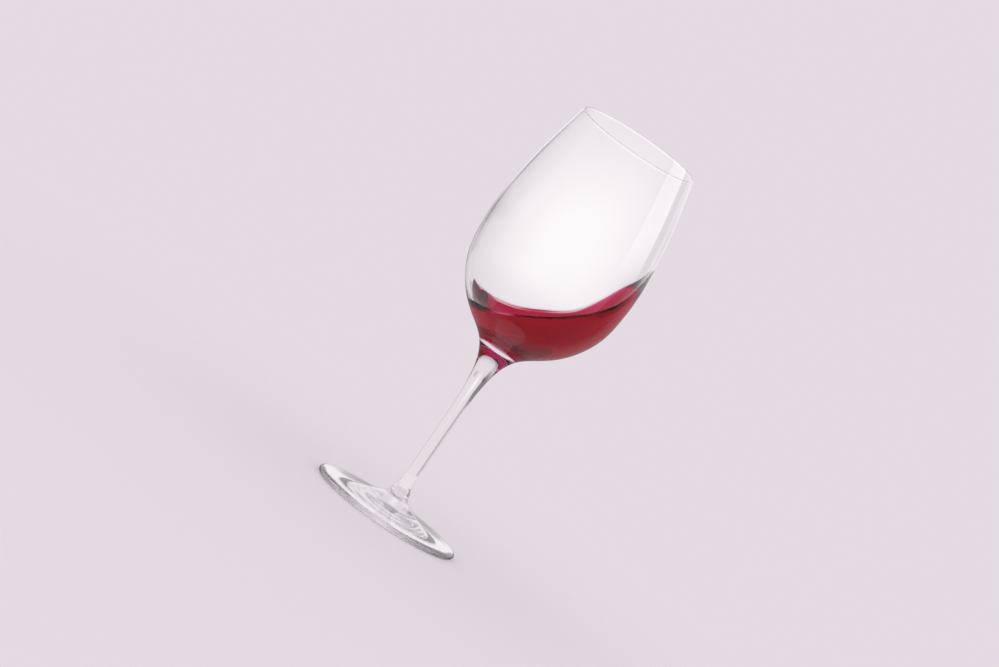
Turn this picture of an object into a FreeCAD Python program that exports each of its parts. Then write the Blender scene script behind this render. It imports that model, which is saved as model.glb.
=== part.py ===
import FreeCAD, Part
import os

# A stemmed glass of red wine, in millimetres. The glass stands upright on its foot: the origin is the
# centre of the foot's underside, on the surface it stands on, and +Z runs up the glass's own axis.
# The wine is caught in mid swirl, climbing the wall towards +X.

# ---- Glass: heights up the axis and outer radii ----
GLASS_HEIGHT = 220.0
RIM_RADIUS = 32.3
BELLY_RADIUS = 42.5
BELLY_HEIGHT = 157.0
STEM_RADIUS = 3.1
STEM_WAIST_HEIGHT = 42.0

# ---- Bowl wall, measured square to the outside ----
RIM_WALL = 1.1
BELLY_WALL = 1.4
LOW_WALL = 2.2

# ---- Inside of the bowl's bottom ----
BOTTOM_HEIGHT = 99.0
BOTTOM_CURVE_RADIUS = 23.0

# ---- Foot ----
FOOT_RADIUS = 39.8
FOOT_EDGE_THICKNESS = 2.6
FOOT_HOLLOW = 1.6
FOOT_RING_INNER_RADIUS = 34.5
FOOT_BOSS_RADIUS = 6.2
FOOT_BOSS_HEIGHT = 10.0

# ---- Wine: the near and far edges of its surface as seen level from the front, as (across, height) ----
# The surface runs level with the near edge in front, steps up at the middle and goes on behind at the
# level of the far edge. It is drawn for an eye at EYE_DISTANCE from the axis, EYE_HEIGHT up, EYE_AZIMUTH
# round the axis from the front.
EYE_DISTANCE = 720.0
EYE_HEIGHT = 111.3
EYE_AZIMUTH = -6.0
WAVE_HALF_DEPTH = 50.0
WAVE_STEP_NEAR = -12.0
WAVE_STEP_FAR = 0.0
WAVE_FLOOR = 90.0
NEAR_LINE = [
    (-46, 112.0), (-34, 112.0), (-25, 111.9), (-20, 112.0), (-14, 113.0), (-8, 115.1), (0, 118.9),
    (8, 123.5), (15, 128.2), (20, 132.2), (25, 136.6), (30, 141.8), (34, 147.4), (37, 153.6),
    (38.8, 161.0), (40.2, 173.4), (41.2, 186.0), (46, 250.0),
]
FAR_LINE = [
    (-46, 122.0), (-34, 120.2), (-25, 118.3), (-20, 118.0), (-14, 118.5), (-8, 119.7), (0, 122.6),
    (8, 126.8), (15, 131.0), (20, 135.2), (25, 142.0), (30, 151.2), (34, 159.1), (37, 164.1),
    (38.8, 168.2), (40.2, 173.4), (41.2, 186.0), (46, 250.0),
]

# ---- Outside of the glass above the stem's waist, as (radius, height, wall) ----
# The wall is 0 where the glass is solid.
BOWL_OUTSIDE = [
    (STEM_RADIUS, STEM_WAIST_HEIGHT, 0),
    (3.2, 60.0, 0),
    (3.85, 75.0, 0),
    (4.95, 83.5, 0),
    (7.5, 92.0, 0),
    (11.3, 98.0, 0),
    (20.3, 105.0, LOW_WALL),
    (28.6, 112.0, 2.0),
    (35.4, 121.0, 1.8),
    (40.0, 131.5, 1.6),
    (41.85, 142.5, 1.5),
    (BELLY_RADIUS, BELLY_HEIGHT, BELLY_WALL),
    (41.1, 175.0, 1.3),
    (37.7, 196.0, 1.2),
    (RIM_RADIUS + RIM_WALL / 8, GLASS_HEIGHT - RIM_WALL * 3 / 8, RIM_WALL),
]

# ---- Stem and top of the foot below the waist, as (radius, height) ----
STEM_FLARE = [(STEM_RADIUS, STEM_WAIST_HEIGHT), (3.15, 30.0), (3.5, 20.0), (4.0, 16.0)]
FOOT_COLLAR = [(4.0, 16.0), (4.35, 15.2), (5.2, 12.4), (FOOT_BOSS_RADIUS, FOOT_BOSS_HEIGHT)]
FOOT_TOP = [
    (FOOT_BOSS_RADIUS, FOOT_BOSS_HEIGHT), (9.0, 8.9), (14.0, 6.7), (20.0, 4.9), (29.0, 3.3),
    (FOOT_RADIUS - FOOT_EDGE_THICKNESS / 2, FOOT_EDGE_THICKNESS),
]


def point(radius, height):
    """A point of the half outline, which lies in the XZ plane."""
    return FreeCAD.Vector(radius, 0, height)


def curve(points, **options):
    """One smooth curve through the points, as a B-spline."""
    spline = Part.BSplineCurve()
    spline.interpolate(Points=points, **options)
    return spline


def arc(start, middle, end):
    return Part.Arc(start, middle, end).toShape()


def line(start, end):
    return Part.LineSegment(start, end).toShape()


def inward(spline, spot):
    """The direction square to a curve that runs upwards, at a spot on it, towards the glass's axis."""
    along = spline.tangent(spline.parameter(spot))[0]
    return FreeCAD.Vector(-along.z, 0, along.x)


def bowl_outside():
    """The outside of the glass from the stem's waist up to the rim."""
    points = [point(radius, height) for radius, height, wall in BOWL_OUTSIDE]
    return curve(points)


def bowl_inside(outside):
    """The inside of the bowl from the middle of its bottom up to the rim, one wall away from the outside."""
    bottom = [
        point(radius, BOTTOM_HEIGHT + radius ** 2 / (2 * BOTTOM_CURVE_RADIUS))
        for radius in (0, 6.0, 12.0)
    ]
    sides = []
    for radius, height, wall in BOWL_OUTSIDE:
        if wall:
            spot = point(radius, height)
            sides.append(spot + inward(outside, spot) * wall)
    points = bottom + sides
    level = FreeCAD.Vector(1, 0, 0)
    rising = outside.tangent(outside.LastParameter)[0]
    return curve(points, InitialTangent=level, FinalTangent=rising, Scale=False)


def turned(edges):
    """A closed half outline turned all the way round the glass's axis."""
    face = Part.Face(Part.Wire(edges))
    return face.revolve(FreeCAD.Vector(0, 0, 0), FreeCAD.Vector(0, 0, 1), 360)


def foot_edges():
    """Underside, rounded edge and top of the foot, then the collar and the stem up to its waist."""
    rounding = FOOT_EDGE_THICKNESS / 2
    centre = point(0, FOOT_HOLLOW)
    ring_inner = point(FOOT_RING_INNER_RADIUS, 0)
    halfway = FOOT_RING_INNER_RADIUS / 2
    dome = (FOOT_RING_INNER_RADIUS ** 2 + FOOT_HOLLOW ** 2) / (2 * FOOT_HOLLOW)
    dome_height = FOOT_HOLLOW - (dome - (dome ** 2 - halfway ** 2) ** 0.5)
    ring_outer = point(FOOT_RADIUS - rounding, 0)
    edge_middle = point(FOOT_RADIUS, rounding)
    edge_top = point(FOOT_RADIUS - rounding, FOOT_EDGE_THICKNESS)
    top = curve([point(*spot) for spot in reversed(FOOT_TOP)])
    collar = curve([point(*spot) for spot in reversed(FOOT_COLLAR)])
    stem = curve([point(*spot) for spot in reversed(STEM_FLARE)])
    return [
        arc(centre, point(halfway, dome_height), ring_inner),
        line(ring_inner, ring_outer),
        arc(ring_outer, edge_middle, edge_top),
        top.toShape(),
        collar.toShape(),
        stem.toShape(),
    ]


def rim_edge(outside, inside):
    """The rounded lip that joins the outside to the inside."""
    outer = outside.EndPoint
    inner = inside.EndPoint
    across = inner - outer
    upwards = FreeCAD.Vector(across.z, 0, -across.x).normalize()
    crown = (outer + inner) / 2 + upwards * (across.Length / 2)
    return arc(outer, crown, inner)


def make_glass(outside, inside):
    """Foot, stem and bowl: one piece of glass."""
    centre_line = line(inside.StartPoint, point(0, FOOT_HOLLOW))
    edges = foot_edges() + [outside.toShape(), rim_edge(outside, inside), inside.toShape(), centre_line]
    return turned(edges)


def wave_wire(seen_line, depth):
    """A closed outline across the bowl at one depth, from well under the wine up to the wave."""
    scale = 1 + depth / EYE_DISTANCE
    points = []
    for across, height in seen_line:
        points.append(FreeCAD.Vector(across * scale, depth, EYE_HEIGHT + (height - EYE_HEIGHT) * scale))
    left = FreeCAD.Vector(points[0].x, depth, WAVE_FLOOR)
    right = FreeCAD.Vector(points[-1].x, depth, WAVE_FLOOR)
    edges = [curve(points).toShape(), line(points[-1], right), line(right, left), line(left, points[0])]
    wire = Part.Wire(edges)
    wire.rotate(FreeCAD.Vector(0, 0, 0), FreeCAD.Vector(0, 0, 1), EYE_AZIMUTH)
    return wire


def make_wine(inside):
    """The wine fills the inside of the bowl up to the swirling surface and touches the glass all round."""
    top = inside.EndPoint
    lid = point(0, top.z)
    full = turned([inside.toShape(), line(top, lid), line(lid, inside.StartPoint)])
    sections = [
        wave_wire(NEAR_LINE, -WAVE_HALF_DEPTH),
        wave_wire(NEAR_LINE, WAVE_STEP_NEAR),
        wave_wire(FAR_LINE, WAVE_STEP_FAR),
        wave_wire(FAR_LINE, WAVE_HALF_DEPTH),
    ]
    return full.common(Part.makeLoft(sections, True, True))


def single_solid(shape):
    """The one solid in a shape, after a check that there is only one."""
    solids = shape.Solids
    if len(solids) != 1:
        raise ValueError("expected one solid, found %d" % len(solids))
    return solids[0]


def report(name, shape):
    box = shape.optimalBoundingBox(True, False)
    print("%s valid %s volume %.0f mm3" % (name, shape.isValid(), shape.Volume))
    print("  across %.2f by %.2f, height %.2f to %.2f" % (box.XLength, box.YLength, box.ZMin, box.ZMax))


outside = bowl_outside()
inside = bowl_inside(outside)
parts = {
    "glass": single_solid(make_glass(outside, inside)),
    "wine": single_solid(make_wine(inside)),
}
os.makedirs("parts", exist_ok=True)
for name, shape in parts.items():
    report(name, shape)
    shape.exportStep("parts/%s.step" % name)
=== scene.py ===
from math import atan2, cos, exp, hypot, pi, radians, sin

import bpy
import numpy as np
from mathutils import Matrix, Vector


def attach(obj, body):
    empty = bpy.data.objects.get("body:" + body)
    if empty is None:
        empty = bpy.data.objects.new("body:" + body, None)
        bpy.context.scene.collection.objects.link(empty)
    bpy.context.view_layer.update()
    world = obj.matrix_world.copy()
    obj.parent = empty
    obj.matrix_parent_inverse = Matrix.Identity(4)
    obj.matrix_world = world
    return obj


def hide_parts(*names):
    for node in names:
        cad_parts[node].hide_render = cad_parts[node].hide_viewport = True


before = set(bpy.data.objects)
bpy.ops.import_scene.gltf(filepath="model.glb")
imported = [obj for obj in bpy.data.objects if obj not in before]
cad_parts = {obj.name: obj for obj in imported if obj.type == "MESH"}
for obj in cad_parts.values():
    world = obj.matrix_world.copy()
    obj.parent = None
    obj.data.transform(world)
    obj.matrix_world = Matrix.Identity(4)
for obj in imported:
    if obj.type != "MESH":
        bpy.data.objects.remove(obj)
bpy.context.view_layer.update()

# A stemmed glass of red wine. It stands upright on its foot, with its axis on Z; the wine is caught in
# mid swirl, climbing the wall towards +X. Lengths are in metres; outlines are in millimetres times MM.
MM = 0.001

# ---- Glass, in millimetres ----
GLASS_HEIGHT = 220.0
RIM_RADIUS = 32.3
RIM_WALL = 1.1
BOTTOM_HEIGHT = 99.0
BOTTOM_CURVE_RADIUS = 23.0
FOOT_RADIUS = 39.8
FOOT_EDGE = 2.6
FOOT_HOLLOW = 1.6
FOOT_RING_INNER = 34.5
# Outside above the stem's waist, as (radius, height, wall); the wall is 0 where the glass is solid.
BOWL_OUTSIDE = [
    (3.1, 42.0, 0), (3.2, 60.0, 0), (3.85, 75.0, 0), (4.95, 83.5, 0), (7.5, 92.0, 0), (11.3, 98.0, 0),
    (20.3, 105.0, 2.2), (28.6, 112.0, 2.0), (35.4, 121.0, 1.8), (40.0, 131.5, 1.6), (41.85, 142.5, 1.5),
    (42.5, 157.0, 1.4), (41.1, 175.0, 1.3), (37.7, 196.0, 1.2),
    (RIM_RADIUS + RIM_WALL / 8, GLASS_HEIGHT - RIM_WALL * 3 / 8, RIM_WALL),
]
# Stem, collar and top of the foot, upwards, as (radius, height).
FOOT_TOP = [
    (FOOT_RADIUS - FOOT_EDGE / 2, FOOT_EDGE), (29.0, 3.3), (20.0, 4.9), (14.0, 6.7), (9.0, 8.9), (6.2, 10.0),
]
COLLAR = [(6.2, 10.0), (5.2, 12.4), (4.35, 15.2), (4.0, 16.0)]
STEM = [(4.0, 16.0), (3.5, 20.0), (3.15, 30.0), (3.1, 42.0)]

# ---- Wine, in millimetres: the wave's near and far lines as seen level from the viewing side, as
# (distance to the right of the axis, height). Between them the surface steps up from near to far. ----
VIEW_AZIMUTH = -6.0
VIEW_DISTANCE = 720.0
VIEW_HEIGHT = 111.3
NEAR_LINE = [
    (-46, 112.0), (-34, 112.0), (-25, 111.9), (-20, 112.0), (-14, 113.0), (-8, 115.1), (0, 118.9),
    (8, 123.5), (15, 128.2), (20, 132.2), (25, 136.6), (30, 141.8), (34, 147.4), (37, 153.6),
    (38.8, 161.0), (40.2, 173.4), (41.2, 186.0), (46, 250.0),
]
FAR_LINE = [
    (-46, 122.0), (-34, 120.2), (-25, 118.3), (-20, 118.0), (-14, 118.5), (-8, 119.7), (0, 122.6),
    (8, 126.8), (15, 131.0), (20, 135.2), (25, 142.0), (30, 151.2), (34, 159.1), (37, 164.1),
    (38.8, 168.2), (40.2, 173.4), (41.2, 186.0), (46, 250.0),
]
STEP_START = -15.0
STEP_LENGTH = 5.0
STEP_LATER_LEFT = 13.0
STEP_LATER_RIGHT = 2.0
STEP_LONGER_LEFT = 9.0
STEP_LONGER_RIGHT = 7.0
STEP_CREST = 1.05
STEP_CREST_LENGTH = 28.0
WINE_INTO_WALL = 0.15
MENISCUS_HEIGHT = 1.2
FAR_MENISCUS_HEIGHT = 0.25
MENISCUS_REACH = 1.3
WAVE_MIDDLE_X = 4.0
WINE_SEGMENTS = 224
WINE_RINGS = 160

ROUND_STEPS = 224


# ---- Curves ----

def spline(points):
    """A smooth curve through the points: a function from 0..length to a point, and its length."""
    spots = np.array([p[:2] for p in points], float)
    runs = np.hypot(*np.diff(spots, axis=0).T)
    along = np.concatenate([[0], np.cumsum(runs)])
    count = len(spots)
    system = np.zeros((count, count))
    right = np.zeros((count, 2))
    system[0, 0] = system[-1, -1] = 1
    for k in range(1, count - 1):
        before, after = runs[k - 1], runs[k]
        system[k, k - 1:k + 2] = before / 6, (before + after) / 3, after / 6
        right[k] = (spots[k + 1] - spots[k]) / after - (spots[k] - spots[k - 1]) / before
    bend = np.linalg.solve(system, right)

    def at(distance):
        k = int(np.clip(np.searchsorted(along, distance) - 1, 0, count - 2))
        run = runs[k]
        a = (along[k + 1] - distance) / run
        b = 1 - a
        lift = ((a ** 3 - a) * bend[k] + (b ** 3 - b) * bend[k + 1]) * run ** 2 / 6
        return a * spots[k] + b * spots[k + 1] + lift

    return at, along


def traced(points, step):
    """Points along the smooth curve through the given ones, about one step apart."""
    at, along = spline(points)
    count = max(2, round(along[-1] / step) + 1)
    return [tuple(at(d)) for d in np.linspace(0, along[-1], count)]


def rounded(start, middle_direction, end, count):
    """A half circle from start to end that bulges towards the middle direction."""
    start, end = Vector(start), Vector(end)
    centre = (start + end) / 2
    across = (start - end) / 2
    bulge = Vector(middle_direction).normalized() * across.length
    angles = [pi * k / count for k in range(count + 1)]
    return [tuple(centre + across * cos(a) + bulge * sin(a)) for a in angles]


def bowl_inside_points():
    """Points of the bowl's inside, from the middle of its bottom to the rim."""
    at, along = spline(BOWL_OUTSIDE)
    bottom = [(r, BOTTOM_HEIGHT + r ** 2 / (2 * BOTTOM_CURVE_RADIUS)) for r in (-12.0, -6.0, 0, 6.0, 12.0)]
    sides = []
    for (radius, height, wall), distance in zip(BOWL_OUTSIDE, along):
        if wall:
            run, rise = at(distance + 0.01) - at(distance - 0.01)
            size = hypot(run, rise)
            sides.append((radius - rise / size * wall, height + run / size * wall))
    return bottom, sides


def bowl_inside(step):
    """The bowl's inside as a traced outline that starts level at the axis."""
    bottom, sides = bowl_inside_points()
    whole = traced(bottom + sides, step / 4)
    right = [p for p in whole if p[0] > 0]
    thinned = right[::4]
    if thinned[-1] != right[-1]:
        thinned.append(right[-1])
    return [(0.0, BOTTOM_HEIGHT)] + thinned[1:]


# ---- Modelling helpers ----

def deselect_all():
    for thing in bpy.context.selected_objects:
        thing.select_set(False)


def lathe(name, outline, steps):
    """Draws the half outline as a chain of extruded vertices and spins it once round the Z axis."""
    deselect_all()
    start = outline[0]
    bpy.ops.mesh.primitive_plane_add(size=0.001, location=(start[0] * MM, 0, start[1] * MM))
    piece = bpy.context.object
    piece.name = name
    piece.data.name = name
    bpy.ops.object.transform_apply(location=True, rotation=True, scale=True)
    bpy.ops.object.mode_set(mode="EDIT")
    bpy.ops.mesh.merge(type="CENTER")
    for before, after in zip(outline, outline[1:]):
        shift = ((after[0] - before[0]) * MM, 0, (after[1] - before[1]) * MM)
        bpy.ops.mesh.extrude_region_move(TRANSFORM_OT_translate={"value": shift})
    bpy.ops.mesh.select_all(action="SELECT")
    bpy.ops.mesh.spin(steps=steps, angle=2 * pi, center=(0, 0, 0), axis=(0, 0, 1))
    bpy.ops.mesh.select_all(action="SELECT")
    bpy.ops.mesh.remove_doubles(threshold=0.000002)
    bpy.ops.mesh.normals_make_consistent(inside=False)
    bpy.ops.object.mode_set(mode="OBJECT")
    return piece


# ---- Glass ----

def glass_outline():
    """The whole section of the glass, from under the foot's middle, up the outside and down the inside."""
    rounding = FOOT_EDGE / 2
    dome = (FOOT_RING_INNER ** 2 + FOOT_HOLLOW ** 2) / (2 * FOOT_HOLLOW)
    hollow = []
    for k in range(25):
        radius = FOOT_RING_INNER * k / 24
        hollow.append((radius, FOOT_HOLLOW - (dome - (dome ** 2 - radius ** 2) ** 0.5)))
    ring_outer = (FOOT_RADIUS - rounding, 0.0)
    edge = rounded(ring_outer, (1, 0), (FOOT_RADIUS - rounding, FOOT_EDGE), 16)
    outside = traced(FOOT_TOP, 1.0)[1:] + traced(COLLAR, 0.4)[1:] + traced(STEM, 1.0)[1:]
    outside += traced(BOWL_OUTSIDE, 1.3)[1:]
    inside = bowl_inside(1.3)
    rise = Vector(outside[-1]) - Vector(outside[-2])
    rim = rounded(outside[-1], rise, inside[-1], 12)
    return hollow + edge + outside + rim[1:-1] + inside[::-1]


def make_glass():
    glass = lathe("clear_glass", glass_outline(), ROUND_STEPS)
    bpy.ops.object.shade_smooth()
    return glass


# ---- Wine ----

def height_from(outline):
    """The height of a wave outline as a function of x."""
    at, along = spline(outline)
    spots = np.array([at(d) for d in np.linspace(0, along[-1], 400)])
    return lambda x: float(np.interp(x, spots[:, 0], spots[:, 1]))


def eased(share):
    """A smooth step from 0 to 1."""
    share = min(max(share, 0.0), 1.0)
    return share * share * (3 - 2 * share)


def make_wine():
    """The wine's body is a ball whose lower half is pressed to the bowl and upper half to the wave."""
    near, far = height_from(NEAR_LINE), height_from(FAR_LINE)
    turn = radians(VIEW_AZIMUTH)

    def wave(x, y):
        depth = y * cos(turn) - x * sin(turn)
        scale = 1 + depth / VIEW_DISTANCE
        across = (x * cos(turn) + y * sin(turn)) / scale
        left, right = eased((-across - 12) / 12), eased((across - 16) / 12)
        start = STEP_START + STEP_LATER_LEFT * left + STEP_LATER_RIGHT * right
        length = STEP_LENGTH + STEP_LONGER_LEFT * left + STEP_LONGER_RIGHT * right
        crest = (STEP_CREST - 1) * eased(depth / STEP_CREST_LENGTH)
        step = STEP_CREST * eased((depth - start) / length) - crest
        seen = near(across) + (far(across) - near(across)) * step
        return VIEW_HEIGHT + (seen - VIEW_HEIGHT) * scale

    wall = np.array(bowl_inside(0.5))
    walked = np.concatenate([[0], np.cumsum(np.hypot(*np.diff(wall, axis=0).T))])

    def wall_radius(z):
        return float(np.interp(z, wall[:, 1], wall[:, 0]))

    def wall_spot(distance):
        radius = float(np.interp(distance, walked, wall[:, 0]))
        height = float(np.interp(distance, walked, wall[:, 1]))
        return radius, height

    def contact_height(angle):
        low, high = BOTTOM_HEIGHT + 1, 200.0
        for _ in range(40):
            middle = (low + high) / 2
            radius = wall_radius(middle)
            if wave(radius * cos(angle), radius * sin(angle)) > middle:
                low = middle
            else:
                high = middle
        return (low + high) / 2

    deselect_all()
    bpy.ops.mesh.primitive_uv_sphere_add(segments=WINE_SEGMENTS, ring_count=WINE_RINGS, radius=1)
    wine = bpy.context.object
    wine.name = "red_wine"
    wine.data.name = "red_wine"
    contact = {}
    for vertex in wine.data.vertices:
        x, y, z = vertex.co
        angle = atan2(y, x) if hypot(x, y) > 1e-6 else 0.0
        key = round(angle, 4)
        if key not in contact:
            top = contact_height(angle)
            contact[key] = (top, float(np.interp(top, wall[:, 1], walked)))
        top, reach = contact[key]
        latitude = atan2(z, hypot(x, y)) / (pi / 2)
        if latitude <= 0.0001:
            radius, height = wall_spot(reach * (1 + min(latitude, 0)))
            before = wall_spot(reach * (1 + min(latitude, 0)) - 0.5)
            after = wall_spot(reach * (1 + min(latitude, 0)) + 0.5)
            run, rise = after[0] - before[0], after[1] - before[1]
            size = hypot(run, rise) or 1
            radius += rise / size * WINE_INTO_WALL
            height -= run / size * WINE_INTO_WALL
            if latitude < -0.9999:
                radius, height = 0, BOTTOM_HEIGHT - WINE_INTO_WALL
            vertex.co = (radius * cos(angle) * MM, radius * sin(angle) * MM, height * MM)
        else:
            share = 1 - latitude ** 1.6
            radius = wall_radius(top) + WINE_INTO_WALL
            edge_x, edge_y = radius * cos(angle), radius * sin(angle)
            px, py = WAVE_MIDDLE_X + (edge_x - WAVE_MIDDLE_X) * share, edge_y * share
            inset = hypot(edge_x - px, edge_y - py)
            behind = eased((edge_y + 12) / 20)
            rise = MENISCUS_HEIGHT + (FAR_MENISCUS_HEIGHT - MENISCUS_HEIGHT) * behind
            rim_lift = rise * (exp(-inset / MENISCUS_REACH) - 1)
            vertex.co = (px * MM, py * MM, (wave(px, py) + rim_lift) * MM)
    wine.data.update()
    bpy.ops.object.shade_smooth_by_angle(angle=radians(50))
    return wine


# ---- Materials ----

def new_material(name):
    material = bpy.data.materials.new(name)
    material.use_nodes = True
    nodes = material.node_tree.nodes
    nodes.clear()
    return material, nodes, material.node_tree.links


def faint_waves(nodes, links, surface, scale, height):
    """Gives a surface the slight unevenness of blown glass or moving liquid."""
    place = nodes.new("ShaderNodeTexCoord")
    noise = nodes.new("ShaderNodeTexNoise")
    noise.inputs["Scale"].default_value = scale
    noise.inputs["Detail"].default_value = 2.0
    bump = nodes.new("ShaderNodeBump")
    bump.inputs["Strength"].default_value = 1.0
    bump.inputs["Distance"].default_value = height
    links.new(place.outputs["Object"], noise.inputs["Vector"])
    links.new(noise.outputs["Fac"], bump.inputs["Height"])
    links.new(bump.outputs["Normal"], surface.inputs["Normal"])


def clear_material(name, refraction, reflection, depth_color, density, wave_scale, wave_height):
    """A clear, smooth material that takes its colour from the depth that light passes through."""
    material, nodes, links = new_material(name)
    output = nodes.new("ShaderNodeOutputMaterial")
    surface = nodes.new("ShaderNodeBsdfPrincipled")
    surface.inputs["Base Color"].default_value = (1, 1, 1, 1)
    surface.inputs["Roughness"].default_value = 0.0
    surface.inputs["IOR"].default_value = refraction
    surface.inputs["Specular Tint"].default_value = reflection
    surface.inputs["Transmission Weight"].default_value = 1.0
    depth = nodes.new("ShaderNodeVolumeAbsorption")
    depth.inputs["Color"].default_value = depth_color
    depth.inputs["Density"].default_value = density
    faint_waves(nodes, links, surface, wave_scale, wave_height)
    links.new(surface.outputs["BSDF"], output.inputs["Surface"])
    links.new(depth.outputs["Volume"], output.inputs["Volume"])
    return material


def clear_glass_material():
    reflection, depth_color = (0.35, 0.35, 0.37, 1), (0.86, 0.84, 0.88, 1)
    return clear_material("clear_glass", 1.5, reflection, depth_color, 12.0, 28.0, 0.00003)


def wine_material():
    reflection, depth_color = (0.08, 0.07, 0.08, 1), (0.868, 0.010, 0.455, 1)
    return clear_material("red_wine", 1.34, reflection, depth_color, 150.0, 70.0, 0.00004)


# ---- Stage ----

BACKDROP = (0.775, 0.708, 0.760, 1)
LAMPLIGHT = (1.0, 0.972, 0.986, 1)
WALL_LIGHT = (1.0, 0.925, 0.975, 1)
FLOOR_RADIUS = 1.6
FLOOR_FADE_FROM = 0.12
FLOOR_FADE_TO = 0.55
# Panels as (azimuth, half width, softness, strength), in degrees; azimuth 0 is +X and 90 is +Y. Fades are
# over the upward part of the direction, as (from, to, value at from, value at to).
THROUGH_BASE = 0.26
THROUGH_PANELS = [(108, 78, 42, 0.54), (-45, 26, 34, 0.58)]
UPPER_GAPS = [(62, 5, 5, -0.20), (106, 5, 5, -0.20), (158, 5, 5, -0.30), (202, 5, 5, -0.30)]
EDGE_GAP = (134, 24, 8, -0.55)
LOW_GAP = (120, 5, 8, -0.30)
MAIN_GLOW = (84, 3.6, 4.0, 0.22)
DOWN_LIGHT = (-0.19, -0.12, 0.84, 0.0)
BOUNCED_BASE = 0.10
BOUNCED_PANELS = [(110, 70, 20, 0.80), (-45, 12, 10, 0.30)]
WINDOW = (-1, 18, 3, 3.6)
UPPER_GAPS_FADES = [(0.10, 0.14, 0.0, 1.0), (0.16, 0.20, 1.0, 0.0)]
EDGE_GAP_FADES = [(-0.03, 0.03, 0.0, 1.0), (0.15, 0.40, 1.0, 0.25)]
LOW_GAP_FADES = [(-0.02, 0.03, 1.0, 0.0)]
THROUGH_FADES = [(0.35, 0.75, 1.0, 0.60)]
BOUNCED_FADES = [(0.60, 0.80, 1.0, 0.0), (0.05, 0.14, 0.25, 1.15)]
WINDOW_FADES = [(0.06, 0.34, 0.0, 1.0), (0.60, 0.80, 1.0, 0.0)]
TINT_CONTRAST = 5.0


def make_floor():
    deselect_all()
    bpy.ops.mesh.primitive_circle_add(vertices=128, radius=FLOOR_RADIUS, fill_type="NGON", location=(0, 0, 0))
    floor = bpy.context.object
    floor.name = "floor"
    material, nodes, links = new_material("pale_floor")
    output = nodes.new("ShaderNodeOutputMaterial")
    surface = nodes.new("ShaderNodeBsdfPrincipled")
    surface.inputs["Base Color"].default_value = BACKDROP
    surface.inputs["Roughness"].default_value = 0.9
    surface.inputs["Specular IOR Level"].default_value = 0.0
    clear = nodes.new("ShaderNodeBsdfTransparent")
    mix = nodes.new("ShaderNodeMixShader")
    place = nodes.new("ShaderNodeTexCoord")
    length = nodes.new("ShaderNodeVectorMath")
    length.operation = "LENGTH"
    links.new(place.outputs["Object"], length.inputs[0])

    fade = nodes.new("ShaderNodeMapRange")
    fade.interpolation_type = "SMOOTHSTEP"
    fade.inputs["From Min"].default_value = FLOOR_FADE_FROM
    fade.inputs["From Max"].default_value = FLOOR_FADE_TO
    links.new(length.outputs["Value"], fade.inputs["Value"])
    path = nodes.new("ShaderNodeLightPath")
    pick = nodes.new("ShaderNodeMix")
    pick.data_type = "FLOAT"
    links.new(path.outputs["Is Camera Ray"], pick.inputs["Factor"])
    pick.inputs["A"].default_value = 1.0
    links.new(fade.outputs["Result"], pick.inputs["B"])
    links.new(pick.outputs["Result"], mix.inputs["Fac"])
    links.new(surface.outputs["BSDF"], mix.inputs[1])
    links.new(clear.outputs["BSDF"], mix.inputs[2])
    links.new(mix.outputs["Shader"], output.inputs["Surface"])
    floor.data.materials.append(material)


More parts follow.
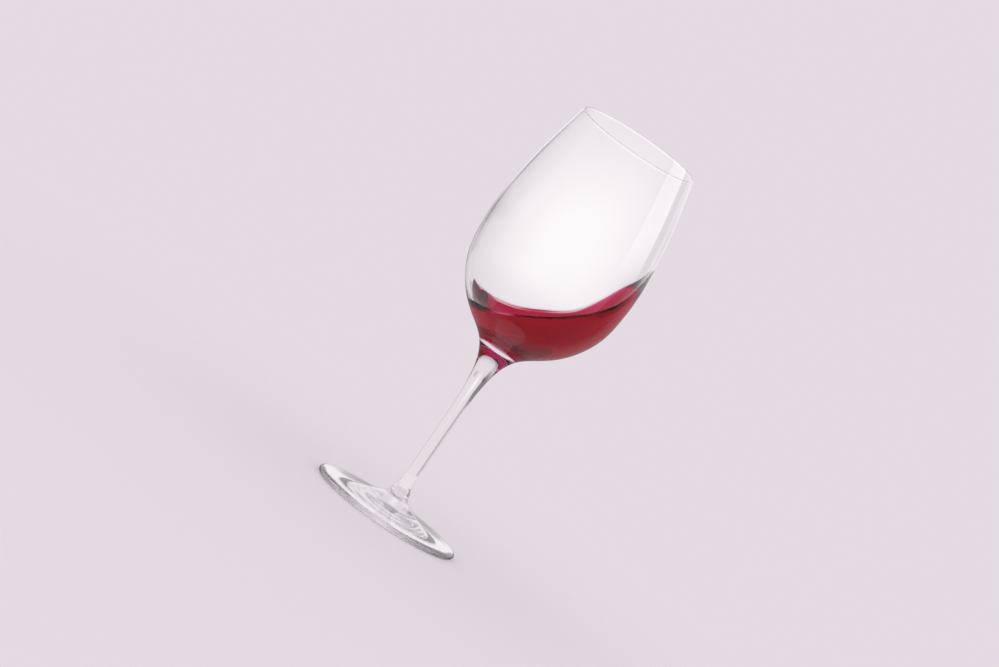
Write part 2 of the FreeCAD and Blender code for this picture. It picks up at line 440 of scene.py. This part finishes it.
def make_world():
    """A pale studio. Seen directly it is plain. Light that has come through the glass or the liquid sees
    lit panels with dimmer gaps between, light that has bounced off them sees a dark room with one window,
    and the floor is lit evenly."""
    world = bpy.data.worlds.new("studio")
    world.cycles.sampling_method = "NONE"
    bpy.context.scene.world = world
    world.use_nodes = True
    nodes, links = world.node_tree.nodes, world.node_tree.links
    nodes.clear()

    def math(operation, *values):
        node = nodes.new("ShaderNodeMath")
        node.operation = operation
        for socket, value in zip(node.inputs, values):
            if isinstance(value, (int, float)):
                socket.default_value = value
            else:
                links.new(value, socket)
        return node.outputs["Value"]

    def smooth(value, low, high, to_low, to_high):
        node = nodes.new("ShaderNodeMapRange")
        node.interpolation_type = "SMOOTHSTEP"
        links.new(value, node.inputs["Value"])
        for name, number in (("From Min", low), ("From Max", high), ("To Min", to_low), ("To Max", to_high)):
            node.inputs[name].default_value = number
        return node.outputs["Result"]

    place = nodes.new("ShaderNodeTexCoord")
    split = nodes.new("ShaderNodeSeparateXYZ")
    links.new(place.outputs["Generated"], split.inputs["Vector"])
    x, y, z = split.outputs
    level = math("SQRT", math("ADD", math("MULTIPLY", x, x), math("MULTIPLY", y, y)))
    level = math("MAXIMUM", level, 0.001)

    def panel(azimuth, half_width, softness, strength):
        """A lit upright panel, centred at an azimuth."""
        along_x = math("MULTIPLY", x, cos(radians(azimuth)))
        along_y = math("MULTIPLY", y, sin(radians(azimuth)))
        facing = math("DIVIDE", math("ADD", along_x, along_y), level)
        return smooth(facing, cos(radians(half_width + softness)), cos(radians(half_width)), 0.0, strength)

    def glow(azimuth, elevation, half_width, strength):
        """A round soft glow in one direction."""
        toward = Vector((cos(radians(azimuth)) * cos(radians(elevation)),
                         sin(radians(azimuth)) * cos(radians(elevation)), sin(radians(elevation))))
        parts = [math("MULTIPLY", axis, part) for axis, part in zip((x, y, z), toward)]
        facing = math("MAXIMUM", math("ADD", math("ADD", parts[0], parts[1]), parts[2]), 0.0)
        sharpness = np.log(0.5) / np.log(cos(radians(half_width)))
        return math("MULTIPLY", math("POWER", facing, float(sharpness)), strength)

    def total(values):
        result = values[0]
        for value in values[1:]:
            result = math("ADD", result, value)
        return result

    def faded(value, fades):
        for fade in fades:
            value = math("MULTIPLY", value, smooth(z, *fade))
        return value

    through = total([panel(*values) for values in THROUGH_PANELS])
    gaps = faded(total([panel(*values) for values in UPPER_GAPS]), UPPER_GAPS_FADES)
    edge_gap = faded(panel(*EDGE_GAP), EDGE_GAP_FADES)
    low_gap = faded(panel(*LOW_GAP), LOW_GAP_FADES)
    white = glow(*MAIN_GLOW)
    through = total([through, gaps, edge_gap, low_gap, white, THROUGH_BASE])
    through = faded(math("MAXIMUM", through, smooth(z, *DOWN_LIGHT)), THROUGH_FADES)
    tint = nodes.new("ShaderNodeMix")
    tint.data_type = "RGBA"
    links.new(math("MULTIPLY", white, TINT_CONTRAST), tint.inputs["Factor"])
    tint.inputs["A"].default_value = WALL_LIGHT
    tint.inputs["B"].default_value = LAMPLIGHT
    bounced = faded(total([panel(*values) for values in BOUNCED_PANELS]), BOUNCED_FADES)
    bounced = total([bounced, faded(panel(*WINDOW), WINDOW_FADES), BOUNCED_BASE])

    def background(color, strength):
        node = nodes.new("ShaderNodeBackground")
        if isinstance(color, tuple):
            node.inputs["Color"].default_value = color
        else:
            links.new(color, node.inputs["Color"])
        if isinstance(strength, float):
            node.inputs["Strength"].default_value = strength
        else:
            links.new(strength, node.inputs["Strength"])
        return node.outputs["Background"]

    def choose(share, otherwise, chosen):
        node = nodes.new("ShaderNodeMixShader")
        links.new(share, node.inputs["Fac"])
        links.new(otherwise, node.inputs[1])
        links.new(chosen, node.inputs[2])
        return node.outputs["Shader"]

    path = nodes.new("ShaderNodeLightPath")
    lit = math("GREATER_THAN", path.outputs["Diffuse Depth"], 0.5)
    light = background(LAMPLIGHT, bounced)
    light = choose(path.outputs["Is Transmission Ray"], light, background(tint.outputs["Result"], through))
    light = choose(lit, light, background((1, 1, 1, 1), 1.0))
    light = choose(path.outputs["Is Camera Ray"], light, background(BACKDROP, 1.0))
    output = nodes.new("ShaderNodeOutputWorld")
    links.new(light, output.inputs["Surface"])


# ---- Camera ----

CAMERA_AZIMUTH = -6.0
CAMERA_DISTANCE = 0.7205
CAMERA_HEIGHT = 0.1113
CAMERA_AIM = (-0.00385, 0.0004, 0.1049)
CAMERA_ROLL = 34.5
CAMERA_LENS = 52.76


def make_camera():
    """The camera leans over by the swirl's lean, so that the wine lies level in its view."""
    data = bpy.data.cameras.new("camera")
    camera = bpy.data.objects.new("camera", data)
    bpy.context.scene.collection.objects.link(camera)
    angle = radians(CAMERA_AZIMUTH)
    camera.location = (CAMERA_DISTANCE * sin(angle), -CAMERA_DISTANCE * cos(angle), CAMERA_HEIGHT)
    towards = Vector(CAMERA_AIM) - camera.location
    turn = towards.to_track_quat("-Z", "Y").to_matrix()
    roll = Matrix.Rotation(radians(CAMERA_ROLL), 3, "Z")
    camera.rotation_mode = "QUATERNION"
    camera.rotation_quaternion = (turn @ roll).to_quaternion()
    data.sensor_width = 36.0
    data.lens = CAMERA_LENS
    data.clip_start = 0.01
    bpy.context.scene.camera = camera


def set_rendering():
    scene = bpy.context.scene
    scene.view_settings.view_transform = "Standard"
    scene.view_settings.look = "None"
    scene.cycles.max_bounces = 32
    scene.cycles.transmission_bounces = 32
    scene.cycles.glossy_bounces = 12
    scene.cycles.transparent_max_bounces = 16
    scene.cycles.sample_clamp_indirect = 6.0
    scene.cycles.sample_clamp_direct = 0.0


# ---- Assembly ----

glass = make_glass()
glass.data.materials.append(clear_glass_material())
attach(glass, "root")
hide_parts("glass")

wine = make_wine()
wine.data.materials.append(wine_material())
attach(wine, "root")
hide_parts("wine")

make_floor()
make_world()
make_camera()
set_rendering()
